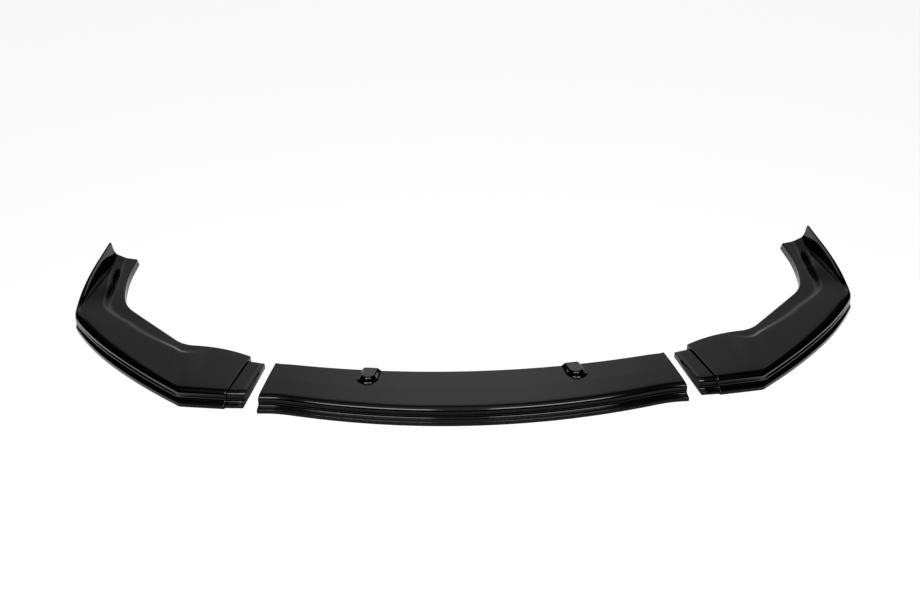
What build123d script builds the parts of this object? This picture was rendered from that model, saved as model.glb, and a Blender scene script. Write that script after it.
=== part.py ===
import math
import os

from build123d import *

# Overall plan, in millimetres: X to the right, Y to the rear, Z up, with the lip lying on z = 0.
overall_depth = 650.0  # front middle of the blade to the tips of the fins
half_length = 449.0  # centre line to the centre section's end, along its front edge
front_bow = 58.0  # how far the front edge falls back from the middle to its straight ends
rear_bow = 46.0  # how far the rear edge falls back over the same length
centre_depth = 161.0  # front to rear of the centre section in the middle
end_flat = 37.0  # straight run at each end of the front edge, for the joint
end_splay = 10.0  # angle of the joint faces from straight ahead, in degrees
laid_gap = 30.0  # the end pieces lie this far from the centre section
laid_setback = 17.0  # this far behind the place where they fit
laid_turn = 3.7  # and turned outwards by this much, in degrees

# Skin and edge section shared by all three pieces.
wall = 3.0  # thickness of the moulded skin
fit_clearance = 0.5  # play of a tongue in its socket
lip_height = 30.0  # top of the upper lip
rear_height = 16.0  # top of the plate at the rear edge
plate_crown = 1.2  # the plate stands this far above a straight slope in its middle
blade_overhang = 16.0  # the lower blade stands this far ahead of the upper lip
blade_height = 8.5  # top of the blade at its front
blade_edge = 1.5  # bevel along the blade's front edge
ledge_height = 8.8  # top of the blade where it meets the front face
root_round = 4.0  # fillet between the blade and the front face
nose_overhang = 1.0  # the lip's nose stands this far ahead of the foot of the front face
lip_round = 6.0  # rounding of the upper lip
edge_round = 2.5  # rounding of the rear and inner edges

# Bosses at the rear edge of the centre section.
boss_spacing = 440.0  # between the middles of the two bosses
boss_height = 9.0  # above the plate
boss_base_width = 42.0
boss_top_width = 26.0
boss_base_length = 60.0  # from the rear edge to the foot of the nose
boss_top_length = 40.0  # from the rear edge to the top of the nose
boss_overhang = 3.0  # the boss runs this far past the rear edge

# Upper lip of an end piece in plan, from the joint to the fin's tip.
tongue_length = 38.0
front_run = 96.0
front_sweep = 7.5
corner_radius = 25.0
corner_turn = 30.5
oblique_radius = 1800.0
oblique_turn = 7.0
shoulder_radius = 850.0
shoulder_turn = 10.5
outer_radius = 60.0
outer_turn = 30.5
arm_radius = 640.0
arm_share = 0.725  # share of the depth behind the outer corner that the arm's arc takes

# Inner edge of an end piece in plan, over the same seven runs.
joint_overrun = 10.0  # at the joint the end piece reaches this far past the centre section's rear edge
inner_sweep = 32.0
inner_front_radius = 320.0
inner_front_turn = 24.5
inner_corner_radius = 78.0
inner_oblique_run = 85.0
inner_shoulder_run = 78.0
inner_outer_radius = 114.0
inner_outer_turn = 31.0
inner_arm_radius = 360.0
tail_rake = 9.0  # the rear cut's inner end lies this far ahead of the fin's tip

# Blade tip, flange, fin and pocket of an end piece.
tip_overhang = 7.0  # the blade still stands this far ahead of the lip at its tip
arm_bead = 1.0  # past its tip the blade runs on along the arm as a bead, this far proud of the face
flange_height = 18.5  # level of the flange along the inner edge, at the foot of the step down to it
flange_start = 60.0  # distance along the lip where the flange begins
flange_growth = 46.0  # distance over which it widens
first_flange_width = 8.0  # width of the flange where it begins
flange_width = 31.0  # width of the flange along the oblique run
arm_flange_width = 26.0  # width of the flange along the arm
step_run = 12.0  # width of the step from the plate down to the flange
step_height = 4.5  # height of the step along the oblique run
arm_step_height = 8.5  # height of the step along the arm
fin_height = 33.0  # fin tip above the lip
fin_edge = 4.0  # thickness of the fin's top edge at its tip
fin_spread = 14.0  # the fin's foot thickens by this much along the arm
fin_ease = 1.35  # how the fin's edge curves up, where 1 is a straight line
fin_hollow = 0.6  # share of the fin's height that is hollow
pocket_share = 0.82  # length of the pocket as a share of the bowed part of the arm's inner edge
pocket_width = 13.0
pocket_depth = 9.0  # below the flange
pocket_inset = 28.0  # from the arm's inner edge to the middle of the pocket
pocket_along = 0.62  # place of the pocket's middle along the bowed part of the arm's inner edge

# Hollows are drawn this far past the floor and the ends that they open through.
clear_of_face = 5.0

front_y = -overall_depth / 2
joint_y = front_y + front_bow
bow_length = half_length - end_flat
splay_tangent = math.tan(math.radians(end_splay))
splay_cosine = math.cos(math.radians(end_splay))


def ease(value):
    """Smooth step from 0 to 1."""
    value = min(max(value, 0.0), 1.0)
    return value * value * (3 - 2 * value)


def blend(start, end, share):
    return start + (end - start) * share


def bow_radius(bow):
    """Radius of an arc that falls back by bow over the bowed half length."""
    return (bow_length**2 + bow**2) / (2 * bow)


def bow_at(x, bow):
    """How far a bowed edge has fallen back at x, running on straight past the bow's end."""
    radius = bow_radius(bow)
    return radius - math.sqrt(radius**2 - min(abs(x), bow_length) ** 2)


rear_slope = bow_length / (bow_radius(rear_bow) - rear_bow)


def lip_y(x):
    """Place of the centre section's upper lip."""
    return front_y + blade_overhang + bow_at(x, front_bow)


def rear_y(x):
    """Place of the centre section's rear edge."""
    past_bow = max(abs(x) - bow_length, 0.0)
    return front_y + centre_depth + bow_at(x, rear_bow) + past_bow * rear_slope


def plate_level(across, width):
    """Height of the plate, which slopes down in a slight crown from the lip to the inner edge."""
    share = across / width
    return blend(lip_height, rear_height, share) + 4 * plate_crown * share * (1 - share)


def flange_levels(width, flange, drop, rise, spread):
    """Points of the plate across a section: fin foot, step top, step foot and inner edge."""
    foot = lip_round + wall + spread
    step_top = max(width - flange - step_run, foot + wall)
    step_foot = max(width - flange, step_top + wall)
    return [
        (foot, plate_level(foot, width)),
        (step_top, blend(plate_level(step_top, width), flange_height + drop, rise)),
        (step_foot, blend(plate_level(step_foot, width), flange_height, rise)),
        (width, rear_height),
    ]


def skin_section(
    width,
    overhang=blade_overhang,
    flange=flange_width,
    drop=step_height,
    rise=0.0,
    fin=0.0,
    spread=0.0,
):
    """Outline across a piece, from the blade over the lip to the inner edge; 0 is the lip's nose."""
    foot, step_top, step_foot, inner = flange_levels(width, flange, drop, rise, spread)
    reach = (overhang + nose_overhang) / (blade_overhang + nose_overhang)
    lip_top = lip_height + fin
    roll = blend(lip_round, fin_edge, fin / fin_height)
    return [
        (-overhang, 0),
        (-overhang, blade_height - blade_edge),
        (-overhang + blade_edge * reach, blade_height),
        (nose_overhang - root_round * reach, ledge_height),
        (nose_overhang, ledge_height + root_round),
        (0, lip_top - roll),
        (roll / 3, lip_top - roll / 3),
        (roll, lip_top),
        foot,
        step_top,
        step_foot,
        (inner[0] - edge_round, inner[1]),
        (inner[0], inner[1] - edge_round),
        (inner[0], 0),
    ]


def hollow_section(
    width,
    inset,
    bottom,
    overhang=blade_overhang,
    flange=flange_width,
    drop=step_height,
    rise=0.0,
    fin=0.0,
    spread=0.0,
):
    """Outline of the space under the skin: the same section, drawn in by inset."""
    foot, step_top, step_foot, inner = flange_levels(width, flange, drop, rise, spread)
    behind_face = nose_overhang + inset
    lip_underside = lip_height - lip_round / 3 - inset
    return [
        (-overhang + inset, bottom),
        (-overhang + inset, blade_height - inset),
        (behind_face, ledge_height - inset),
        (blend(behind_face, inset, fin / fin_height), lip_underside + fin_hollow * fin),
        (max(foot[0] - inset, behind_face + wall), foot[1] - inset),
        (step_top[0] - inset / 2, step_top[1] - inset),
        (step_foot[0] - inset / 2, step_foot[1] - inset),
        (inner[0] - inset, inner[1] - inset),
        (inner[0] - inset, bottom),
    ]


def section_plane(outer, inner):
    """Upright plane of a section, from its lip point towards its inner edge point."""
    across = Vector(inner.X - outer.X, inner.Y - outer.Y, 0).normalized()
    return Plane(origin=outer, x_dir=across, z_dir=(across.Y, -across.X, 0))


def drawn_section(plane, outline):
    """One closed section as a face on its plane."""
    with BuildSketch(plane) as section:
        with BuildLine():
            Polyline(*outline, close=True)
        make_face()
    return section.sketch


def centre_skin(x):
    """Section of the centre section's skin at x."""
    plane = section_plane(Vector(x, lip_y(x)), Vector(x, rear_y(x)))
    return drawn_section(plane, skin_section(rear_y(x) - lip_y(x)))


def centre_hollow(x):
    """Section of the space under the centre section's skin at x."""
    plane = section_plane(Vector(x, lip_y(x)), Vector(x, rear_y(x)))
    return drawn_section(plane, hollow_section(rear_y(x) - lip_y(x), wall, -clear_of_face))


def boss_outline(x, level, width, length, inset):
    """Bullet outline of a boss, nose to the front, on a plane parallel to the plate."""
    slope = Vector(0, rear_y(x) - lip_y(x), rear_height - lip_height)
    plate = Plane(origin=(x, rear_y(x), rear_height), x_dir=(1, 0, 0), z_dir=Vector(1, 0, 0).cross(slope))
    half = width / 2 - inset
    back = boss_overhang - inset
    straight = length - inset - half
    with BuildSketch(plate.offset(level - inset)) as outline:
        with BuildLine():
            Polyline((-half, -straight), (-half, back), (half, back), (half, -straight))
            ThreePointArc((half, -straight), (0, -straight - half), (-half, -straight))
        make_face()
    return outline.sketch


# Centre section: one bowed shell, open below and at both ends, where the end pieces' tongues slide in.
bow_stations = [bow_length * share for share in (-1, -0.75, -0.5, -0.25, 0, 0.25, 0.5, 0.75, 1)]
end_station = half_length + clear_of_face

with BuildPart() as centre_section:
    loft(sections=[centre_skin(x) for x in bow_stations])
    for side in (-1, 1):
        loft(sections=[centre_skin(side * bow_length), centre_skin(side * end_station)], ruled=True)
        joint_face = Plane(origin=(side * half_length, joint_y, 0), z_dir=(side, splay_tangent, 0))
        split(bisect_by=joint_face, keep=Keep.BOTTOM)
    for boss_x in (-boss_spacing / 2, boss_spacing / 2):
        foot = boss_outline(boss_x, -wall, boss_base_width, boss_base_length, 0)
        top = boss_outline(boss_x, boss_height, boss_top_width, boss_top_length, 0)
        loft(sections=[foot, top], ruled=True)
    loft(sections=[centre_hollow(x) for x in bow_stations], mode=Mode.SUBTRACT)
    for side in (-1, 1):
        ends = [centre_hollow(side * bow_length), centre_hollow(side * (end_station + clear_of_face))]
        loft(sections=ends, ruled=True, mode=Mode.SUBTRACT)
    for boss_x in (-boss_spacing / 2, boss_spacing / 2):
        foot = boss_outline(boss_x, -wall, boss_base_width, boss_base_length, wall)
        top = boss_outline(boss_x, boss_height, boss_top_width, boss_top_length, wall)
        loft(sections=[foot, top], ruled=True, mode=Mode.SUBTRACT)

centre_section.part.label = "centre_section"

# Plan of an end piece, for the right hand: seven runs along the upper lip and seven along the inner edge.
# The joint matches the centre section's end, moved out by the gap and the tongue and turned as it lies.
joint_move = laid_gap + tongue_length
fitted_x = half_length - blade_overhang * splay_tangent
joint_width = (rear_y(fitted_x) - lip_y(fitted_x)) / (1 + splay_tangent * rear_slope)
lip_start = Vector(fitted_x + joint_move, joint_y + blade_overhang + laid_setback)
joint_across = Vector(-splay_tangent, 1).rotate(Axis.Z, laid_turn)
inner_start = lip_start + joint_across * (joint_width + joint_overrun)
inner_heading = inner_sweep - inner_front_turn
oblique_heading = front_sweep + corner_turn + oblique_turn
arm_heading = oblique_heading + shoulder_turn + outer_turn

with BuildLine() as lip_edge:
    front = PolarLine(lip_start, front_run, front_sweep)
    corner = JernArc(front @ 1, front % 1, corner_radius, corner_turn)
    oblique = JernArc(corner @ 1, corner % 1, oblique_radius, oblique_turn)
    shoulder = JernArc(oblique @ 1, oblique % 1, shoulder_radius, shoulder_turn)
    outer_corner = JernArc(shoulder @ 1, shoulder % 1, outer_radius, outer_turn)
    arm_depth = arm_share * (overall_depth / 2 - (outer_corner @ 1).Y)
    arm_end_heading = math.degrees(math.acos((outer_corner % 1).X - arm_depth / arm_radius))
    arm = JernArc(outer_corner @ 1, outer_corner % 1, arm_radius, arm_end_heading - arm_heading)
    tail_run = (overall_depth / 2 - (arm @ 1).Y) / (arm % 1).Y
    tail = PolarLine(arm @ 1, tail_run, direction=arm % 1)

with BuildLine() as inner_edge:
    inner_front_start = Vector(1, 0).rotate(Axis.Z, inner_sweep)
    inner_front = JernArc(inner_start, inner_front_start, inner_front_radius, -inner_front_turn)
    inner_corner = JernArc(
        inner_front @ 1, inner_front % 1, inner_corner_radius, oblique_heading - inner_heading
    )
    inner_oblique = PolarLine(inner_corner @ 1, inner_oblique_run, direction=inner_corner % 1)
    inner_shoulder = PolarLine(inner_oblique @ 1, inner_shoulder_run, direction=inner_oblique % 1)
    inner_outer = JernArc(inner_shoulder @ 1, inner_shoulder % 1, inner_outer_radius, inner_outer_turn)
    inner_rear = overall_depth / 2 - tail_rake
    inner_arm_depth = arm_share * (inner_rear - (inner_outer @ 1).Y)
    inner_end_heading = math.degrees(math.acos((inner_outer % 1).X - inner_arm_depth / inner_arm_radius))
    inner_arm = JernArc(
        inner_outer @ 1,
        inner_outer % 1,
        inner_arm_radius,
        inner_end_heading - oblique_heading - inner_outer_turn,
    )
    inner_tail_run = (inner_rear - (inner_arm @ 1).Y) / (inner_arm % 1).Y
    inner_tail = PolarLine(inner_arm @ 1, inner_tail_run, direction=inner_arm % 1)

lip_runs = [front, corner, oblique, shoulder, outer_corner, arm, tail]
inner_runs = [inner_front, inner_corner, inner_oblique, inner_shoulder, inner_outer, inner_arm, inner_tail]
tip_start = front.length + corner.length + oblique.length + shoulder.length
lip_length = sum(run.length for run in lip_runs)


def end_form(along):
    """Form of an end piece's section at a distance along its lip: blade, flange and fin."""
    to_tip = (along - front.length) / (tip_start - front.length)
    past_tip = (along - tip_start) / outer_corner.length
    rise = ease((along - flange_start) / flange_growth)
    on_arm = ease((along - tip_start + outer_corner.length) / arm.length)
    fin_share = max((along - tip_start) / (lip_length - tip_start), 0.0)
    overhang = blend(blade_overhang, tip_overhang, min(max(to_tip, 0.0), 1.0))
    return {
        "overhang": blend(overhang, arm_bead - nose_overhang, ease(past_tip)),
        "flange": blend(blend(first_flange_width, flange_width, rise), arm_flange_width, on_arm),
        "drop": blend(step_height, arm_step_height, on_arm),
        "rise": rise,
        "fin": fin_height * fin_share**fin_ease,
        "spread": fin_spread * on_arm,
    }


def end_section(run, share, inset=None):
    """Section of an end piece at a share of one of its runs: its skin, or its hollow if drawn in."""
    outer = lip_runs[run] @ share
    inner = inner_runs[run] @ share
    form = end_form(sum(past.length for past in lip_runs[:run]) + share * lip_runs[run].length)
    width = (inner - outer).length
    if inset is None:
        outline = skin_section(width, **form)
    else:
        outline = hollow_section(width, inset, -clear_of_face, **form)
    return drawn_section(section_plane(outer, inner), outline)


def tongue_section(distance, inset, bottom):
    """Section of a tongue at a distance out from the joint, parallel to the joint's face."""
    width = (rear_y(fitted_x) - lip_y(fitted_x) - distance * rear_slope) / (1 + splay_tangent * rear_slope)
    across = [(u / splay_cosine, z) for u, z in hollow_section(width, inset, bottom)]
    outer = lip_start - Vector(distance, 0).rotate(Axis.Z, laid_turn)
    return drawn_section(section_plane(outer, outer + joint_across), across)


def pocket_outline(level, grow):
    """Leaf outline of the pocket on the step of the arm, grown by a margin."""
    along = inner_arm % pocket_along
    outwards = Vector(along.Y, -along.X)
    middle = (inner_arm @ pocket_along) + outwards * pocket_inset
    half_run = along * (pocket_share * inner_arm.length / 2 + grow)
    half_width = outwards * (pocket_width / 2 + grow)
    with BuildSketch(Plane.XY.offset(level)) as outline:
        with BuildLine():
            ThreePointArc(middle - half_run, middle + half_width, middle + half_run)
            ThreePointArc(middle + half_run, middle - half_width, middle - half_run)
        make_face()
    return outline.sketch


# Hollow of an end piece: the space under its skin, with the walls and floor of the pocket left standing.
pocket_floor = flange_height - pocket_depth

with BuildPart() as end_hollow:
    for run in range(len(lip_runs)):
        first = wall / front.length if run == 0 else 0
        last = 1 - wall / tail.length if run == len(lip_runs) - 1 else 1
        loft(sections=[end_section(run, share, wall) for share in (first, 1 / 3, 2 / 3, last)])
    extrude(pocket_outline(pocket_floor - wall, wall), amount=lip_height, mode=Mode.SUBTRACT)

# Right end: the shell, the tongue that fits inside the centre section, and the pocket on the arm's step.
tongue_inset = wall + fit_clearance
tongue_hollow = tongue_inset + wall

with BuildPart() as right_end:
    for run in range(len(lip_runs)):
        loft(sections=[end_section(run, share) for share in (0, 1 / 3, 2 / 3, 1)])
    add(end_hollow.part, mode=Mode.SUBTRACT)
    tongue_ends = [tongue_section(0, tongue_inset, 0), tongue_section(tongue_length, tongue_inset, 0)]
    loft(sections=tongue_ends, ruled=True)
    hollow_ends = [
        tongue_section(0, tongue_hollow, -clear_of_face),
        tongue_section(tongue_length - wall, tongue_hollow, -clear_of_face),
    ]
    loft(sections=hollow_ends, ruled=True, mode=Mode.SUBTRACT)
    extrude(pocket_outline(pocket_floor, 0), amount=lip_height, mode=Mode.SUBTRACT)

right_end.part.label = "right_end"

with BuildPart() as left_end:
    mirror(right_end.part, about=Plane.YZ)

left_end.part.label = "left_end"

os.makedirs("parts", exist_ok=True)
export_step(centre_section.part, "parts/centre_section.step")
export_step(right_end.part, "parts/right_end.step")
export_step(left_end.part, "parts/left_end.step")
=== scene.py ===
"""Front splitter lip of a car, laid out on a white floor: a bowed centre section and two swept end pieces."""
import math

import bpy
import numpy as np
from mathutils import Matrix


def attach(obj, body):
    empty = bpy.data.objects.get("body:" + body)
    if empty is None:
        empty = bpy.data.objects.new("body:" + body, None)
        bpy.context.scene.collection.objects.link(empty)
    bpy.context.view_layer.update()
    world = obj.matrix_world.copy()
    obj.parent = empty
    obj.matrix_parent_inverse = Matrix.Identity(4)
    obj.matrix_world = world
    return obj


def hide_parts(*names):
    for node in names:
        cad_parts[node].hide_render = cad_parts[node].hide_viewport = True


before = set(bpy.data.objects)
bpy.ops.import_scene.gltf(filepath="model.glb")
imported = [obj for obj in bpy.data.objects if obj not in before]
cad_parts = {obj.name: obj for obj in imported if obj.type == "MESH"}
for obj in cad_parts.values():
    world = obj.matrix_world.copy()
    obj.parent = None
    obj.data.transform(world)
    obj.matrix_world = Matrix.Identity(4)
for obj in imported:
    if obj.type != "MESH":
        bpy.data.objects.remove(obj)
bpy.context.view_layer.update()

# Centre section: the bowed middle of the lip, a thin shell moulded in gloss black plastic, open below and at
# both ends, where the tongues slide in. A flat blade and a rounded lip run along its front, and two bosses
# stand at its rear edge. Its lengths are in millimetres.
overall_depth = 649.8  # from the front edge to the tips of the fins, as the pieces lie
half_length = 449.0
front_bow = 58.0  # how far the front edge bows forwards
rear_bow = 46.0
centre_depth = 161.0
end_flat = 37.0  # the bow stops this far from each end
bow_run_out = 60  # and runs out softly within this distance of that place
end_splay = math.radians(10.0)  # angle of the joint faces from straight ahead
wall = 3.0
lip_height = 31.0
rear_height = 16.0
plate_crown = 1.2
blade_overhang = 16.0
blade_height = 8.6
blade_round = 1.8
least_blade_round = 0.8
ledge_height = 11.3  # the blade rises to this height at the front face
root_round = 4.0
face_lean = 1.2  # the front face leans back by this much
lip_round = (7.5, 18.0)  # the lip is rounded over this much of the front face and of the plate
lip_zone = 24.0  # width of the strip along the lip that is the same at every station
plate_round = 3.0
edge_round = 2.5
flat_round = 1.0  # rounding where an outline hardly turns
hollow_round = 1.0
hollow_roof_round = 2.0
hollow_rear_round = 1.5
bend_points = 7  # points on each rounded corner

front_y = -overall_depth / 2
joint_y = front_y + front_bow
bow_length = half_length - end_flat
splay_tangent = math.tan(end_splay)


def blend(start, end, share):
    return start + (end - start) * share


def ease(share):
    """Smooth step from 0 to 1."""
    share = np.clip(share, 0, 1)
    return share * share * (3 - 2 * share)


def bow_radius(bow):
    return (bow_length**2 + bow**2) / (2 * bow)


def smooth(values, window):
    """Weighted running mean, with the ends held."""
    kernel = np.hanning(2 * window + 1)
    return np.convolve(np.pad(values, window, mode="edge"), kernel / kernel.sum(), mode="valid")


def fall_back(x, bow):
    """How far a bowed edge has fallen back at x; it runs out softly into the straight ends."""
    every = np.arange(0, 2 * half_length)
    fall = bow_radius(bow) - np.sqrt(bow_radius(bow) ** 2 - np.minimum(every, bow_length) ** 2)
    return np.interp(np.abs(x), every, np.where(every > bow_length / 2, smooth(fall, bow_run_out), fall))


rear_slope = bow_length / (bow_radius(rear_bow) - rear_bow)


def lip_y(x):
    return front_y + blade_overhang + fall_back(x, front_bow)


def rear_y(x):
    past_bow = np.maximum(np.abs(x) - bow_length, 0)
    return front_y + centre_depth + fall_back(x, rear_bow) + past_bow * rear_slope


def plate_level(across, width):
    """Height of the plate, which slopes down in a slight crown from the lip to the rear or inner edge."""
    share = across / width
    return blend(lip_height, rear_height, share) + 4 * plate_crown * share * (1 - share)


def rounded(corners):
    """Outline through corners (across, up, rounding, points to the next), each corner rounded off.

    A rounding is one reach along both sides of the corner, or a pair of reaches before and after it.
    """
    most_of_side = 0.98  # two roundings take up at most this share of the side between them
    least_turn = 0.001
    points = np.array([corner[:2] for corner in corners], float)
    sides = np.diff(points, axis=0)
    lengths = np.linalg.norm(sides, axis=1)
    before, after = np.array([np.broadcast_to(corner[2], 2) for corner in corners], float).T
    crowded = np.maximum((after[:-1] + before[1:]) / (most_of_side * lengths), 1)
    before[1:] /= crowded
    after[:-1] /= crowded
    t = np.linspace(0, 1, bend_points)[:, None]
    outline = [points[:1]]
    for here in range(1, len(corners)):
        bend = points[here : here + 1]
        if here < len(corners) - 1:
            back = sides[here - 1] / lengths[here - 1]
            ahead = sides[here] / lengths[here]
            start = points[here] - back * before[here]
            end = points[here] + ahead * after[here]
            turn = max(math.acos(min(max(np.dot(back, ahead), -1), 1)), least_turn)
            pull = 4 / 3 * math.tan(turn / 4) / math.tan(turn / 2)
            bend = (
                (1 - t) ** 3 * start
                + 3 * (1 - t) ** 2 * t * blend(start, points[here], pull)
                + 3 * (1 - t) * t**2 * blend(end, points[here], pull)
                + t**3 * end
            )
        between = corners[here - 1][3]
        spaced = 0.5 - 0.5 * np.cos(np.pi * np.arange(1, between + 1) / (between + 1))
        outline.append(blend(outline[-1][-1], bend[0], spaced[:, None]))
        outline.append(bend)
    return np.concatenate(outline)


def drawn_in(outline, depth):
    """An outline moved towards its inside by a depth."""
    run = np.gradient(outline, axis=0)
    inwards = np.stack([run[:, 1], -run[:, 0]], axis=1)
    return outline + depth * inwards / np.linalg.norm(inwards, axis=1, keepdims=True)


def front_corners(overhang, inset=0.0):
    """Corners of the blade and of the fillet at the foot of the front face."""
    return [
        (-overhang + inset, 0, 0, 1),
        (-overhang + inset, blade_height - inset, max(blade_round - inset, least_blade_round), 3),
        (-face_lean + inset, ledge_height - inset, root_round, 3),
    ]


def hollow_corners(overhang, width, roof):
    """Corners of the space under the skin; roof holds the corners between the lip and the inner edge."""
    return [
        (-overhang + wall, 0, 0, 0),
        (-overhang + wall, blade_height - wall, hollow_round, 2),
        (wall, ledge_height - wall, hollow_round, 1),
        (wall, lip_height - 2 * wall, hollow_roof_round, 4),
        *roof,
        (width - wall, rear_height - wall, hollow_rear_round, 1),
        (width - wall, 0, 0, 0),
    ]


# The plastic is nearly black throughout, and its gloss has slight waves and a fine orange peel.
gloss_black = bpy.data.materials.new("gloss_black_plastic")
gloss_black.use_nodes = True
nodes = gloss_black.node_tree.nodes
links = gloss_black.node_tree.links
skin = nodes["Principled BSDF"]
skin.inputs["IOR"].default_value = 1.5
place = nodes.new("ShaderNodeTexCoord")

orange_peel = nodes.new("ShaderNodeTexNoise")
orange_peel.inputs["Scale"].default_value = 160.0
orange_peel.inputs["Detail"].default_value = 3.0
links.new(place.outputs["Object"], orange_peel.inputs["Vector"])

waviness = nodes.new("ShaderNodeTexNoise")
waviness.inputs["Scale"].default_value = 14.0
waviness.inputs["Detail"].default_value = 1.5
links.new(place.outputs["Object"], waviness.inputs["Vector"])

wave_bump = nodes.new("ShaderNodeBump")
wave_bump.inputs["Strength"].default_value = 0.25
wave_bump.inputs["Distance"].default_value = 0.0010
links.new(waviness.outputs["Fac"], wave_bump.inputs["Height"])
peel_bump = nodes.new("ShaderNodeBump")
peel_bump.inputs["Strength"].default_value = 0.12
peel_bump.inputs["Distance"].default_value = 0.00012
links.new(orange_peel.outputs["Fac"], peel_bump.inputs["Height"])
links.new(wave_bump.outputs["Normal"], peel_bump.inputs["Normal"])
links.new(peel_bump.outputs["Normal"], skin.inputs["Normal"])

haze = nodes.new("ShaderNodeMapRange")
haze.inputs["To Min"].default_value = 0.06
haze.inputs["To Max"].default_value = 0.12
links.new(waviness.outputs["Fac"], haze.inputs["Value"])
links.new(haze.outputs["Result"], skin.inputs["Roughness"])

pigment = nodes.new("ShaderNodeMix")
pigment.data_type = "RGBA"
pigment.inputs["A"].default_value = (0.0008, 0.0008, 0.0009, 1)
pigment.inputs["B"].default_value = (0.0018, 0.0018, 0.0020, 1)
links.new(orange_peel.outputs["Fac"], pigment.inputs["Factor"])
links.new(pigment.outputs["Result"], skin.inputs["Base Color"])


def moulding(name, outer, inner, open_ends):
    """Closed shell between an outer and an inner skin, each a grid of stations by outline points."""
    millimetres_per_metre = 1000
    crease_angle = math.radians(38)  # edges that turn by more than this stay sharp
    stations, across, _ = outer.shape
    inner_across = inner.shape[1]
    first_inner = stations * across
    faces = []
    for station in range(stations - 1):
        for point in range(across - 1):
            corner = station * across + point
            faces.append((corner, corner + 1, corner + across + 1, corner + across))
        for point in range(inner_across - 1):
            corner = first_inner + station * inner_across + point
            faces.append((corner, corner + inner_across, corner + inner_across + 1, corner + 1))
        for edge, inner_edge in ((0, 0), (across - 1, inner_across - 1)):
            a = station * across + edge
            b = first_inner + station * inner_across + inner_edge
            rim = (a, a + across, b + inner_across, b)
            faces.append(rim if edge == 0 else rim[::-1])
    for station in (0, stations - 1):
        outline = [station * across + point for point in range(across)]
        hollow = [first_inner + station * inner_across + point for point in range(inner_across)]
        ends = [outline + hollow[::-1]]
        if not open_ends:
            ends = [outline, hollow[::-1], [outline[-1], outline[0], hollow[0], hollow[-1]]]
        faces += ends if station else [end[::-1] for end in ends]
    mesh = bpy.data.meshes.new(name)
    points = np.concatenate([outer.reshape(-1, 3), inner.reshape(-1, 3)]) / millimetres_per_metre
    points[:, 2] = np.maximum(points[:, 2], 0)  # nothing dips below the floor
    mesh.from_pydata(points.tolist(), [], faces)
    mesh.validate()
    mesh.polygons.foreach_set("use_smooth", [True] * len(mesh.polygons))
    mesh.set_sharp_from_angle(angle=crease_angle)
    mesh.materials.append(gloss_black)
    piece = bpy.data.objects.new(name, mesh)
    bpy.context.scene.collection.objects.link(piece)
    return piece


boss_at = 220.0  # distance of each boss from the middle
boss_height = 9.0
boss_length = 58.0
boss_base_half = 21.0
boss_top_half = 14.0
boss_nose_run = 11.0  # the nose slopes back over this distance
boss_overhang = 3.0  # a boss stands out behind the rear edge by this much
boss_rear_zone = 3.0  # which moves the strip of this width along the edge
boss_points = 64  # outline points across the strip that carries the bosses
boss_strip = 36.0  # stations stand close together this far to each side of a boss
rear_wall_top = 10.0  # below this height the rear wall runs straight down
boss_zone = 70.0  # the bosses stand within this distance of the rear edge
boss_fillet = 0.30  # share of the height over which the foot is rounded
boss_edge = 0.30  # and over which the top edge is rounded
boss_splay = 0.18  # the bosses stand farther apart towards the front
boss_tilt = 0.12  # the top falls off towards the rear edge

middle_width = rear_y(0) - lip_y(0)
plate_from = middle_width - boss_zone
centre_outline = rounded(
    front_corners(blade_overhang)
    + [
        (0, lip_height, lip_round, 3),
        (lip_zone, plate_level(lip_zone, middle_width), flat_round, 8),
        (plate_from, plate_level(plate_from, middle_width), plate_round, boss_points),
        (middle_width, rear_height, edge_round, 1),
        (middle_width, rear_wall_top, flat_round, 1),
        (middle_width, 0, 0, 0),
    ]
)
centre_hollow = rounded(hollow_corners(blade_overhang, middle_width, []))


def softened(share, soft):
    """Share, but never under 0, with a rounded bend."""
    return np.where(share < -soft, 0, np.where(share > soft, share, (share + soft) ** 2 / (4 * soft)))


def boss_rise(aside, ahead):
    """Height of a boss at a place beside its middle and ahead of the rear edge: bullet outlines, stacked."""
    taper = boss_base_half - boss_top_half
    straight = boss_length - boss_base_half
    straight_taper = straight - (boss_length - boss_nose_run) + boss_top_half
    side = (boss_base_half - np.abs(aside)) / taper
    # The nose's circles shrink and move back as they rise; which of them passes here is a quadratic equation.
    square = straight_taper**2 - taper**2
    half_linear = (ahead - straight) * straight_taper + boss_base_half * taper
    constant = aside**2 + (ahead - straight) ** 2 - boss_base_half**2
    nose = (-half_linear + np.sqrt(np.maximum(half_linear**2 - square * constant, 0))) / square
    share = np.where(ahead < straight - straight_taper * np.clip(side, 0, 1), side, np.minimum(nose, side))
    lower = softened(np.clip(share, -1, 2), boss_fillet)
    height = boss_height + boss_tilt * (ahead - boss_length / 2)
    return height * (1 - softened(1 - lower, boss_edge))


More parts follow.
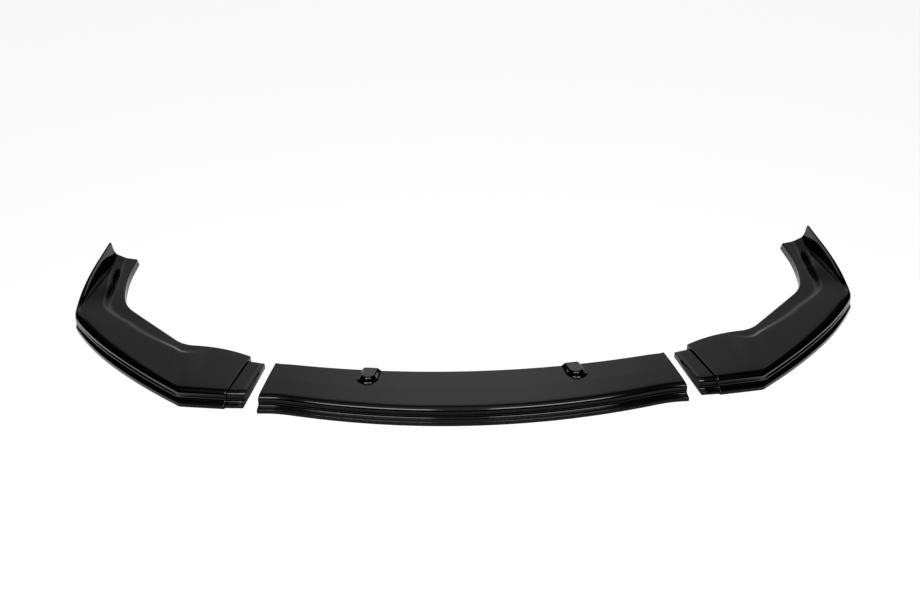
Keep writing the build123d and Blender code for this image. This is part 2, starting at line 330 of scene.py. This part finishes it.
def centre_station(x, outline, inset=0.0):
    """An outline of the centre section placed at x; near the ends it turns to the splay of the joint."""
    splay_from = 330.0
    settling_rounds = 4  # the turned station's places are found by going round this often
    shaped = drawn_in(outline, inset)
    turn = splay_tangent * ease((abs(x) - splay_from) / (half_length - splay_from)) * np.sign(x)
    along = np.full(len(shaped), x)
    for _ in range(settling_rounds):
        width = rear_y(along) - lip_y(along)
        stretch = (width - lip_zone) / (middle_width - lip_zone)
        behind_lip = np.maximum(shaped[:, 0] - lip_zone, 0)
        across = np.minimum(shaped[:, 0], lip_zone) + behind_lip * stretch
        y = lip_y(along) + across
        along = x - turn * (y - joint_y)
    up = shaped[:, 1].copy()
    if outline is centre_outline:
        ahead = rear_y(along) - y
        aside = np.abs(along) - boss_at - boss_splay * (ahead - boss_length / 2)
        on_plate = (shaped[:, 0] > plate_from) & (up > rear_wall_top + flat_round)
        rise = np.where(on_plate, boss_rise(aside, ahead), 0)
        y = y + boss_overhang * (rise / boss_height) * (across > width - boss_rear_zone)
        up = up + rise
    return np.stack([along, y, up], axis=1)


middle_spacing = 6.0
boss_spacing = 0.8
outer_spacing = 5.0
rim_margin = 2.0  # the last of these stations stays this far from the end
spread = np.concatenate(
    [
        np.arange(0, boss_at - boss_strip, middle_spacing),
        np.arange(boss_at - boss_strip, boss_at + boss_strip, boss_spacing),
        np.arange(boss_at + boss_strip, half_length - rim_margin, outer_spacing),
    ]
)
# Distances from the end, and how far the skin is drawn in there, which eases the rim off.
rim_ease = [(0.9, 0.0), (0.35, 0.2), (0.0, 0.7)]
right_half = [(x, 0.0) for x in spread] + [(half_length - back, inset) for back, inset in rim_ease]
centre_stations = [(-x, inset) for x, inset in right_half[:0:-1]] + right_half
centre = moulding(
    "centre_section_shell",
    np.array([centre_station(x, centre_outline, inset) for x, inset in centre_stations]),
    np.array([centre_station(x, centre_hollow) for x, _ in centre_stations]),
    open_ends=True,
)
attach(centre, "root")
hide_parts("centre_section")

# Right end: the piece that sweeps round the corner of the bumper, a thin shell moulded in the same gloss
# black plastic. Its tongue slides into the centre section's right end. Its plate steps down to a flange along
# the inner edge, and along the arm the lip rises into an upright fin.
laid_gap = 30.0  # between the tongue and its socket, as the pieces lie
laid_setback = 17.0  # the end lies this far behind the place where it fits
laid_turn = math.radians(3.7)  # and turned outwards by this much
tongue_length = 38.0
tongue_inset = 3.5
joint_overrun = 10.0  # the inner edge starts this far behind the centre section's rear edge

# The lip's runs from the joint to the rear: lengths, radii, and turns in degrees.
front_sweep = 7.5
front_run = 96.0
corner_radius = 25.0
corner_turn = 30.5
oblique_radius = 1800.0
oblique_turn = 7.0
shoulder_radius = 838.0
shoulder_turn = 10.5
outer_radius = 60.0
outer_turn = 30.5
arm_radius = 640.0
arm_turn = 16.08
lip_softness = 12  # points before and behind over which one run passes into the next
rear_margin = 0.4
rear_tip = overall_depth / 2 - rear_margin

# The inner edge's runs, in the same way.
inner_sweep = 32.0
inner_front_radius = 320.0
inner_front_turn = 24.5
inner_corner_radius = 78.0
inner_corner_turn = 37.5
inner_oblique_run = 85.0
inner_shoulder_run = 78.0
inner_outer_radius = 114.0
inner_outer_turn = 31.0
inner_arm_radius = 360.0
inner_arm_turn = 19.8
inner_softness = 16
match_softness = 40
tail_rake = 9.0  # the inner edge ends this far ahead of the fin's tip

# Blade, flange and step. The arm begins at the blade's tip, and shares of it count from there to the rear.
tip_overhang = 5.5
tip_run = 14.0  # the blade ends over this distance
arm_bead = 0.2  # what is left of the blade along the arm
arm_lead = 32.0  # the section begins to change to that of the arm this far before the tip
arm_growth = 180.0
flange_start = 70.0  # distance from the joint at which the flange begins to form
flange_growth = 38.0
flange_height = 18.5
first_flange_width = 8.0
flange_width = 31.0
corner_flange_width = 37.0
corner_lead = 90.0  # the flange widens over this distance before the tip
arm_flange_width = 20.0
arm_flange_from = 0.05
arm_flange_growth = 0.4
tail_flange_width = 26.0
tail_flange_from = 0.6
tail_flange_growth = 0.3
step_run = 12.0
arm_step_run = 19.0
step_height = 4.5
arm_step_height = 9.5
tail_step_height = 8.5
step_round = 5.0
least_edge_round = 1.2
inner_draft = 3.5  # the arm's inner wall leans out by this much at its foot
roof_margin = 1.0  # extra wall under the valley

# Fin, with the valley and the ridge beside it. The fin's inner wall has a steep slope over a flatter one.
fin_height = 32.6
fin_ease = 1.35  # power by which the fin rises along the arm
fin_lean = 4.0
fin_root_width = 13.0
fin_top_width = 5.5
fin_thin_at = 0.75  # share of the arm at which the fin has thinned to its top width
fin_round = (8.0, 3.5)
fin_edge_round = 1.2
fin_tip_round = 5.0
draw_in_lead = 30.0  # the lip begins to draw in to the fin this far before the tip
draw_in_run = 75.0
wall_from = 0.14  # share of the arm at which wall and valley begin
wall_growth = 0.2
valley_growth = 0.36
valley_run_out = 0.22  # the valley fades over this last share of the arm
tail_from = 0.76  # the wall stands up straighter from this share on
wall_base = 0.3  # place of the wall's foot between the levels of the lip and of the step
steep_share = 0.4  # share of the wall's height in its steep slope
tail_steep_share = 0.8
steep_spread = 0.4  # width of the steep slope for its height
tail_steep_spread = 0.12
flatter_spread = 1.1
least_spread = 3.0  # width of each slope where the wall has not yet begun
wall_foot_round = 4.0
tail_wall_foot_round = 10.0
valley_depth = 1.5
valley_round = 3.0
ridge_height = 2.0
ridge_spread = 13.0
ridge_limit = 0.8  # the ridge keeps within this share of the way from the valley to the step
ridge_round = 2.5
step_lift = 0.8  # the top of the step rises by this share of the ridge's height

# Pocket: a blunt leaf, sunk into the slope of the step.
pocket_at = 637.0  # distance along the lip to its middle
pocket_half_length = 57.0
pocket_half_width = 6.0
pocket_least_half = 0.3
pocket_depth = 10.0
pocket_dive = 3  # how fast it deepens from its ends
pocket_place = 0.62  # share of the way down the step
pocket_round = 0.3
pocket_outer_floor = 0.94  # the floor reaches so far out that the outer wall is nearly upright
pocket_inner_floor = 0.3

joint_move = laid_gap + tongue_length
fitted_x = half_length - blade_overhang * splay_tangent
joint_width = (rear_y(fitted_x) - lip_y(fitted_x)) / (1 + splay_tangent * rear_slope)
lip_start = np.array([fitted_x + joint_move, joint_y + blade_overhang + laid_setback])
laid = np.array([[math.cos(laid_turn), -math.sin(laid_turn)], [math.sin(laid_turn), math.cos(laid_turn)]])
joint_across = laid @ np.array([-splay_tangent, 1])
joint_out = laid @ np.array([1, 0])


def arc(radius, turn):
    """A turning run of an edge: its length, and its turn in degrees."""
    return (radius * math.radians(abs(turn)), turn)


def edge_line(start, heading, runs, rear, softness):
    """Points along an edge of straight and turning runs, with a straight tail to the rear."""
    spacing = 0.5
    tail_points = 140
    counts = [round(length / spacing) for length, turn in runs]
    turns = np.concatenate([np.full(count, turn / count) for count, (length, turn) in zip(counts, runs)])
    headings = np.radians(heading + np.cumsum(smooth(turns, softness)))
    steps = spacing * np.stack([np.cos(headings), np.sin(headings)], axis=1)
    bent = np.vstack([start, start + np.cumsum(steps, axis=0)])
    tail = np.linspace(0, (rear - bent[-1, 1]) / steps[-1, 1], tail_points)[1:, None]
    return np.vstack([bent, bent[-1] + tail * steps[-1]])


def distances(line):
    """Distance of each point along a line from its start."""
    return np.concatenate([[0], np.cumsum(np.linalg.norm(np.diff(line, axis=0), axis=1))])


lip_runs = [
    (front_run, 0),
    arc(corner_radius, corner_turn),
    arc(oblique_radius, oblique_turn),
    arc(shoulder_radius, shoulder_turn),
    arc(outer_radius, outer_turn),
    arc(arm_radius, arm_turn),
]
inner_runs = [
    arc(inner_front_radius, -inner_front_turn),
    arc(inner_corner_radius, inner_corner_turn),
    (inner_oblique_run, 0),
    (inner_shoulder_run, 0),
    arc(inner_outer_radius, inner_outer_turn),
    arc(inner_arm_radius, inner_arm_turn),
]
lip_edge = edge_line(lip_start, front_sweep, lip_runs, rear_tip, lip_softness)
inner_start = lip_start + joint_across * (joint_width + joint_overrun)
inner_edge = edge_line(inner_start, inner_sweep, inner_runs, rear_tip - tail_rake, inner_softness)
lip_along = distances(lip_edge)
inner_along = distances(inner_edge)
lip_knots = np.concatenate([[0], np.cumsum([length for length, turn in lip_runs]), lip_along[-1:]])
inner_knots = np.concatenate([[0], np.cumsum([length for length, turn in inner_runs]), inner_along[-1:]])
matched = smooth(np.interp(lip_along, lip_knots, inner_knots), match_softness)
matched = inner_along[-1] * (matched - matched[0]) / (matched[-1] - matched[0])
tip_start = lip_knots[4]  # the blade ends where the outer corner begins
lip_length = lip_along[-1]


def overhang_at(along):
    """How far the blade stands ahead of the lip; past its tip only a bead is left."""
    to_tip = np.clip((along - lip_knots[1]) / (tip_start - lip_knots[1]), 0, 1)
    past_tip = ease((along - tip_start) / tip_run)
    return blend(blend(blade_overhang, tip_overhang, to_tip**2), face_lean + arm_bead, past_tip)


def pocket_at_station(along):
    """Half width and depth of the pocket at a distance along the lip."""
    leaf = max(1 - ((along - pocket_at) / pocket_half_length) ** 2, 0)
    half = pocket_least_half + pocket_half_width * math.sqrt(leaf)
    return half, pocket_depth * min(pocket_dive * leaf, 1)


def end_corners(along, width, inset=0.0):
    """Corners of an end piece's section over lip or fin, valley, ridge, step, pocket and flange."""
    past_tip = along - tip_start
    on_arm = ease((past_tip + arm_lead) / arm_growth)
    arm_share = max(past_tip / (lip_length - tip_start), 0.0)
    fin = fin_height * arm_share**fin_ease
    tight = ease((past_tip + draw_in_lead) / draw_in_run)
    grown = ease((arm_share - wall_from) / wall_growth)
    tip_fall = max(along - lip_length + fin_tip_round, 0)
    top = lip_height + fin - fin_tip_round + math.sqrt(max(fin_tip_round**2 - tip_fall**2, 0))
    lean = fin_lean * fin / fin_height
    parted = ease((arm_share - wall_from) / valley_growth)
    channel = parted * ease((1 - arm_share) / valley_run_out)
    to_tail = ease((arm_share - tail_from) / (1 - tail_from))

    rise = ease((along - flange_start) / flange_growth)
    round_corner = ease((past_tip + corner_lead) / corner_lead)
    flange = blend(blend(first_flange_width, flange_width, rise), corner_flange_width, round_corner)
    flange = blend(flange, arm_flange_width, ease((arm_share - arm_flange_from) / arm_flange_growth))
    flange = blend(flange, tail_flange_width, ease((arm_share - tail_flange_from) / tail_flange_growth))
    step_foot = width - flange
    step_top = step_foot - blend(step_run, arm_step_run, on_arm)
    foot_level = blend(plate_level(step_foot, width), flange_height, rise)
    drop = blend(step_height, blend(arm_step_height, tail_step_height, arm_share), on_arm)
    top_level = blend(plate_level(step_top, width), flange_height + drop, rise)

    def shelf_level(across):
        """Height of the plate between the lip and the step."""
        return blend(plate_level(across, width), blend(lip_height, top_level, across / step_top), on_arm)

    fin_width = blend(fin_root_width, fin_top_width, ease(arm_share / fin_thin_at))
    fin_inner = blend(lip_zone, lean + fin_width, tight)
    fin_inner_level = blend(shelf_level(fin_inner), top, grown)
    wall_height = top - blend(lip_height, top_level, wall_base) + valley_depth * channel
    steep = wall_height * blend(steep_share, tail_steep_share, to_tail)
    steep_width = steep * blend(steep_spread, tail_steep_spread, to_tail)
    wall_foot = fin_inner + blend(least_spread, steep_width, grown)
    valley = wall_foot + blend(least_spread, flatter_spread * (wall_height - steep), grown)
    ridge = min(valley + least_spread + ridge_spread * parted, blend(valley, step_top, ridge_limit))
    wall_foot_level = blend(shelf_level(wall_foot), top - steep, grown)
    valley_level = shelf_level(valley) - valley_depth * channel
    ridge_level = shelf_level(ridge) + ridge_height * channel
    step_level = top_level + step_lift * ridge_height * channel
    steep_round = blend(wall_foot_round, tail_wall_foot_round, to_tail)
    lip_rounding = (blend(lip_round[0], fin_round[0], tight), blend(lip_round[1], fin_round[1], tight))

    half, hole = pocket_at_station(along)
    pocket = blend(step_top, step_foot, pocket_place)
    outer_side = blend(step_level, foot_level, (pocket - half - step_top) / (step_foot - step_top))
    inner_side = blend(step_level, foot_level, (pocket + half - step_top) / (step_foot - step_top))
    return [
        (lean + inset, top - inset, lip_rounding, 3),
        (fin_inner, fin_inner_level - inset, fin_edge_round, 4),
        (wall_foot, wall_foot_level - inset, blend(flat_round, steep_round, grown), 3),
        (valley, valley_level - inset, blend(flat_round, valley_round, grown), 2),
        (ridge, ridge_level - inset, ridge_round, 4),
        (step_top, step_level - inset, step_round, 1),
        (pocket - half, outer_side - inset, pocket_round, 1),
        (pocket - pocket_outer_floor * half, outer_side - inset - hole, pocket_round, 1),
        (pocket - pocket_inner_floor * half, inner_side - inset - hole, pocket_round, 1),
        (pocket + half, inner_side - inset, pocket_round, 1),
        (step_foot, foot_level - inset, step_round, 3),
        (width - inset, rear_height - inset, max(edge_round - inset, least_edge_round), 2),
        (width - inset + inner_draft * on_arm, 0, 0, 0),
    ]


def end_outline(along, width):
    return rounded(front_corners(overhang_at(along)) + end_corners(along, width))


def end_hollow(along, width):
    """Space under the skin of an end piece; its roof follows the valley and the step."""
    _, _, _, valley, _, step_top, _, _, _, _, step_foot, _, _ = end_corners(along, width)
    sunk = wall + pocket_at_station(along)[1]
    roof = [(valley[0], valley[1] - wall - roof_margin, hollow_roof_round, 1)]
    roof += [(at - wall / 2, level - sunk, hollow_roof_round, 1) for at, level, _, _ in (step_top, step_foot)]
    return rounded(hollow_corners(overhang_at(along), width, roof))


def placed(outer, inner, outline):
    """An outline stood upright on the line from a lip point to an inner edge point."""
    across = (inner - outer) / np.linalg.norm(inner - outer)
    plan = outer + outline[:, :1] * across
    return np.column_stack([plan, outline[:, 1]])


def tongue_station(distance, outline_at, *edge):
    """An outline of the tongue at a distance out from the joint, parallel to the joint's face."""
    socket_width = rear_y(fitted_x) - lip_y(fitted_x) - distance * rear_slope
    outline = outline_at(socket_width / (1 + splay_tangent * rear_slope), *edge)
    outline[:, 0] /= math.cos(end_splay)
    outer = lip_start - distance * joint_out
    return placed(outer, outer + joint_across, outline)


def tongue_outline(width, edge=0.0):
    """Outline of the tongue: that of the joint, drawn in to slide into the socket."""
    corners = front_corners(blade_overhang, tongue_inset) + end_corners(0, width, tongue_inset)
    return drawn_in(rounded(corners), edge)


def tongue_hollow(width):
    outline = drawn_in(end_hollow(0, width), tongue_inset)
    outline[[0, -1], 1] = 0
    return outline


def end_station(along, outline_at, inset=0.0):
    """An outline of the end piece at a distance along its lip."""
    outer = np.array([np.interp(along, lip_along, lip_edge[:, axis]) for axis in (0, 1)])
    inner_at = np.interp(along, lip_along, matched)
    inner = np.array([np.interp(inner_at, inner_along, inner_edge[:, axis]) for axis in (0, 1)])
    return placed(outer, inner, drawn_in(outline_at(along, np.linalg.norm(inner - outer)), inset))


# Stations along the lip, from, to and how far apart: closer round the two corners and at the fin's tip.
stretches = [
    (4, 84, 4.0),
    (84, 124, 1.6),
    (124, 478, 3.0),
    (478, 530, 1.6),
    (530, lip_length - fin_tip_round, 2.5),
]
tip_shares = np.array([1, 0.8, 0.6, 0.42, 0.28])  # places within the rounding of the fin's tip
run_along = np.concatenate(
    [np.arange(*stretch) for stretch in stretches] + [lip_length - fin_tip_round * tip_shares]
)
hollow_margin = 1.5
hollow_along = np.clip(run_along, wall + hollow_margin, lip_length - 2 * wall)

# Distances from an edge, and how far the skin is drawn in there, which eases the edge off.
joint_gap = 0.02  # the tongue's skin stops just short of the joint's face
tongue_edges = [(0.0, 0.6), (0.3, 0.18), (0.8, 0.0), (13.0, 0.0), (26.0, 0.0)]
tongue_edges += [(tongue_length - joint_gap, 0.0)]
tongue_hollow_backs = (0, 0.3, 0.8, 10, 22, 34)
joint_edges = [(0.0, 0.8), (0.3, 0.22), (1.0, 0.0)]
tail_edges = [(lip_length - back, inset) for back, inset in rim_ease]
outer_skin = [tongue_station(tongue_length - back, tongue_outline, edge) for back, edge in tongue_edges]
outer_skin += [end_station(along, end_outline, inset) for along, inset in joint_edges]
outer_skin += [end_station(along, end_outline) for along in run_along]
outer_skin += [end_station(along, end_outline, inset) for along, inset in tail_edges]
inner_skin = [tongue_station(tongue_length - wall - back, tongue_hollow) for back in tongue_hollow_backs]
inner_skin += [end_station(wall + along, end_hollow) for along, _ in joint_edges]
inner_skin += [end_station(along, end_hollow) for along in hollow_along]
inner_skin += [end_station(along - wall, end_hollow) for along, _ in tail_edges]
outer_skin = np.array(outer_skin)
inner_skin = np.array(inner_skin)
right = moulding("right_end_shell", outer_skin, inner_skin, open_ends=False)
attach(right, "root")
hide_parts("right_end")

# Left end: the mirror image of the right end, a thin shell moulded in the same gloss black plastic.
# Its tongue slides into the centre section's left end. The order of its stations is turned round, so that its
# skin still faces outwards.
mirrored = np.array([-1, 1, 1])
left = moulding("left_end_shell", outer_skin[::-1] * mirrored, inner_skin[::-1] * mirrored, open_ends=False)
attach(left, "root")
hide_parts("left_end")

# Studio: a flat sheet of white paper under the lip, which shows white to the camera and keeps the lip's faint
# shadow. In the gloss its glow is painted light: bright behind the lip, with painted shade in front of it.
paper = bpy.data.materials.new("white_paper")
paper.use_nodes = True
nodes = paper.node_tree.nodes
links = paper.node_tree.links
nodes.clear()
rays = nodes.new("ShaderNodeLightPath")
spot = nodes.new("ShaderNodeTexCoord")
spot_axes = nodes.new("ShaderNodeSeparateXYZ")
links.new(spot.outputs["Object"], spot_axes.inputs["Vector"])
# Painted shade: in the gloss the paper's glow is dimmed in front of the lip, where the lip shades the floor.
glow_with_painted_front_shade = nodes.new("ShaderNodeMapRange")
glow_with_painted_front_shade.interpolation_type = "SMOOTHSTEP"
glow_with_painted_front_shade.inputs["From Min"].default_value = -0.34
glow_with_painted_front_shade.inputs["From Max"].default_value = 0.28
glow_with_painted_front_shade.inputs["To Min"].default_value = 0.15
glow_with_painted_front_shade.inputs["To Max"].default_value = 0.95
links.new(spot_axes.outputs["Y"], glow_with_painted_front_shade.inputs["Value"])
off_centre = nodes.new("ShaderNodeMath")
off_centre.operation = "ABSOLUTE"
links.new(spot_axes.outputs["X"], off_centre.inputs[0])
off_corner = nodes.new("ShaderNodeMath")
off_corner.operation = "SUBTRACT"
links.new(off_centre.outputs["Value"], off_corner.inputs[0])
links.new(spot_axes.outputs["Y"], off_corner.inputs[1])
# Painted light: in the gloss the paper's glow is raised beside and beyond the end pieces, as if more light
# fell there.
painted_side_light = nodes.new("ShaderNodeMapRange")
painted_side_light.interpolation_type = "SMOOTHSTEP"
painted_side_light.inputs["From Min"].default_value = 0.84
painted_side_light.inputs["From Max"].default_value = 0.92
painted_side_light.inputs["To Max"].default_value = 1.3
links.new(off_corner.outputs["Value"], painted_side_light.inputs["Value"])
gloss_glow_with_painted_light = nodes.new("ShaderNodeMath")
links.new(glow_with_painted_front_shade.outputs["Result"], gloss_glow_with_painted_light.inputs[0])
links.new(painted_side_light.outputs["Result"], gloss_glow_with_painted_light.inputs[1])
in_gloss = nodes.new("ShaderNodeMath")
in_gloss.operation = "MULTIPLY"
links.new(gloss_glow_with_painted_light.outputs["Value"], in_gloss.inputs[0])
links.new(rays.outputs["Is Glossy Ray"], in_gloss.inputs[1])
seen = nodes.new("ShaderNodeMath")
seen.operation = "MAXIMUM"
links.new(rays.outputs["Is Camera Ray"], seen.inputs[0])
links.new(rays.outputs["Is Transmission Ray"], seen.inputs[1])
glow_level = nodes.new("ShaderNodeMath")
glow_level.operation = "MULTIPLY_ADD"
glow_to_camera = 0.9
glow_level.inputs[1].default_value = glow_to_camera
links.new(seen.outputs["Value"], glow_level.inputs[0])
links.new(in_gloss.outputs["Value"], glow_level.inputs[2])
glow = nodes.new("ShaderNodeEmission")
links.new(glow_level.outputs["Value"], glow.inputs["Strength"])
surface = nodes.new("ShaderNodeBsdfDiffuse")
surface.inputs["Color"].default_value = (0.3, 0.3, 0.3, 1)
both = nodes.new("ShaderNodeAddShader")
links.new(glow.outputs["Emission"], both.inputs[0])
links.new(surface.outputs["BSDF"], both.inputs[1])
output = nodes.new("ShaderNodeOutputMaterial")
links.new(both.outputs["Shader"], output.inputs["Surface"])

reach = 9  # of the paper to each side, in metres
floor_mesh = bpy.data.meshes.new("paper_floor")
floor_corners = [(-reach, -reach, 0), (reach, -reach, 0), (reach, reach, 0), (-reach, reach, 0)]
floor_mesh.from_pydata(floor_corners, [], [(0, 1, 2, 3)])
floor_mesh.materials.append(paper)
floor = bpy.data.objects.new("paper_floor", floor_mesh)
bpy.context.scene.collection.objects.link(floor)

# Light: two soft boxes hang above and in front of the lip, side by side with a gap between them.
# The room shows in the gloss as a grey backdrop behind the lip, which fades to dark upwards and to the sides,
# under a paler strip of ceiling.
box_aside = 0.58
box_ahead = -0.6
box_up = 2.0
for side in (-1, 1):
    soft_box = bpy.data.lights.new("soft_box", "AREA")
    soft_box.shape = "RECTANGLE"
    soft_box.size = 0.8
    soft_box.size_y = 0.5
    soft_box.energy = 10.0
    hung = bpy.data.objects.new("soft_box", soft_box)
    hung.location = (box_aside * side, box_ahead, box_up)
    bpy.context.scene.collection.objects.link(hung)

room = bpy.data.worlds.new("room")
bpy.context.scene.world = room
room.use_nodes = True
nodes = room.node_tree.nodes
links = room.node_tree.links
walls = nodes["Background"]
direction = nodes.new("ShaderNodeTexCoord")
axes = nodes.new("ShaderNodeSeparateXYZ")
links.new(direction.outputs["Generated"], axes.inputs["Vector"])


def tone_ramp(value, tones):
    """Grey levels at positions along a value."""
    ramp = nodes.new("ShaderNodeValToRGB")
    for element, (position, tone) in zip([*ramp.color_ramp.elements], (tones[0], tones[-1])):
        element.position = position
        element.color = (tone, tone, tone, 1)
    for position, tone in tones[1:-1]:
        ramp.color_ramp.elements.new(position).color = (tone, tone, tone, 1)
    links.new(value, ramp.inputs["Fac"])
    return ramp.outputs["Color"]


upwards = tone_ramp(
    axes.outputs["Z"],
    [(0.0, 0.9), (0.1, 0.6), (0.4, 0.58), (0.54, 0.64), (0.62, 0.6)]
    + [(0.68, 0.36), (0.74, 0.12), (0.8, 0.03)],
)
sideways = nodes.new("ShaderNodeMath")
sideways.operation = "ARCTAN2"
links.new(axes.outputs["X"], sideways.inputs[0])
links.new(axes.outputs["Y"], sideways.inputs[1])
off_middle = nodes.new("ShaderNodeMath")
off_middle.operation = "SUBTRACT"
backdrop_turn = 0.04  # the backdrop's middle lies this far to the right of straight ahead, in radians
off_middle.inputs[1].default_value = backdrop_turn
links.new(sideways.outputs["Value"], off_middle.inputs[0])
aside = nodes.new("ShaderNodeMath")
aside.operation = "ABSOLUTE"
links.new(off_middle.outputs["Value"], aside.inputs[0])
around = tone_ramp(
    aside.outputs["Value"],
    [(0.0, 1.0), (0.05, 1.0), (0.1, 0.8), (0.14, 0.62), (0.2, 0.55), (0.26, 0.45), (0.295, 0.35)]
    + [(0.316, 0.24), (0.335, 0.12), (0.4, 0.05), (0.5, 0.03), (0.61, 0.02)],
)
wall_tone = nodes.new("ShaderNodeMix")
wall_tone.data_type = "RGBA"
wall_tone.blend_type = "MULTIPLY"
wall_tone.inputs["Factor"].default_value = 1.0
links.new(upwards, wall_tone.inputs["A"])
links.new(around, wall_tone.inputs["B"])
overhead = tone_ramp(axes.outputs["Z"], [(0.82, 0.0), (0.92, 0.42), (1.0, 0.42)])
beside = nodes.new("ShaderNodeMath")
beside.operation = "ABSOLUTE"
links.new(axes.outputs["X"], beside.inputs[0])
ceiling_width = tone_ramp(beside.outputs["Value"], [(0.1, 1.0), (0.3, 0.12), (0.5, 0.02)])
ceiling = nodes.new("ShaderNodeMix")
ceiling.data_type = "RGBA"
ceiling.blend_type = "MULTIPLY"
ceiling.inputs["Factor"].default_value = 1.0
links.new(overhead, ceiling.inputs["A"])
links.new(ceiling_width, ceiling.inputs["B"])
room_tone = nodes.new("ShaderNodeMix")
room_tone.data_type = "RGBA"
room_tone.blend_type = "ADD"
room_tone.inputs["Factor"].default_value = 1.0
links.new(wall_tone.outputs["Result"], room_tone.inputs["A"])
links.new(ceiling.outputs["Result"], room_tone.inputs["B"])
rays = nodes.new("ShaderNodeLightPath")
seen_white = nodes.new("ShaderNodeMix")
seen_white.data_type = "RGBA"
links.new(rays.outputs["Is Camera Ray"], seen_white.inputs["Factor"])
links.new(room_tone.outputs["Result"], seen_white.inputs["A"])
seen_white.inputs["B"].default_value = (1, 1, 1, 1)
links.new(seen_white.outputs["Result"], walls.inputs["Color"])

# Camera: stands in front of the lip, left of its middle, and looks down on it.
# It is turned a little to the right and leans slightly to one side.
bpy.context.scene.view_settings.view_transform = "Standard"
lens = bpy.data.cameras.new("camera")
lens.sensor_width = 36.0
lens.lens = 45.0
lens.clip_end = 50.0
camera = bpy.data.objects.new("camera", lens)
stand = (-0.0959, -2.0999, 1.541)
look_down = math.radians(35.0)
look_right = 0.036846
lean = 0.00524
camera.matrix_world = (
    Matrix.Translation(stand)
    @ Matrix.Rotation(-look_right, 4, "Z")
    @ Matrix.Rotation(math.pi / 2 - look_down, 4, "X")
    @ Matrix.Rotation(-lean, 4, "Z")
)
bpy.context.scene.collection.objects.link(camera)
bpy.context.scene.camera = camera
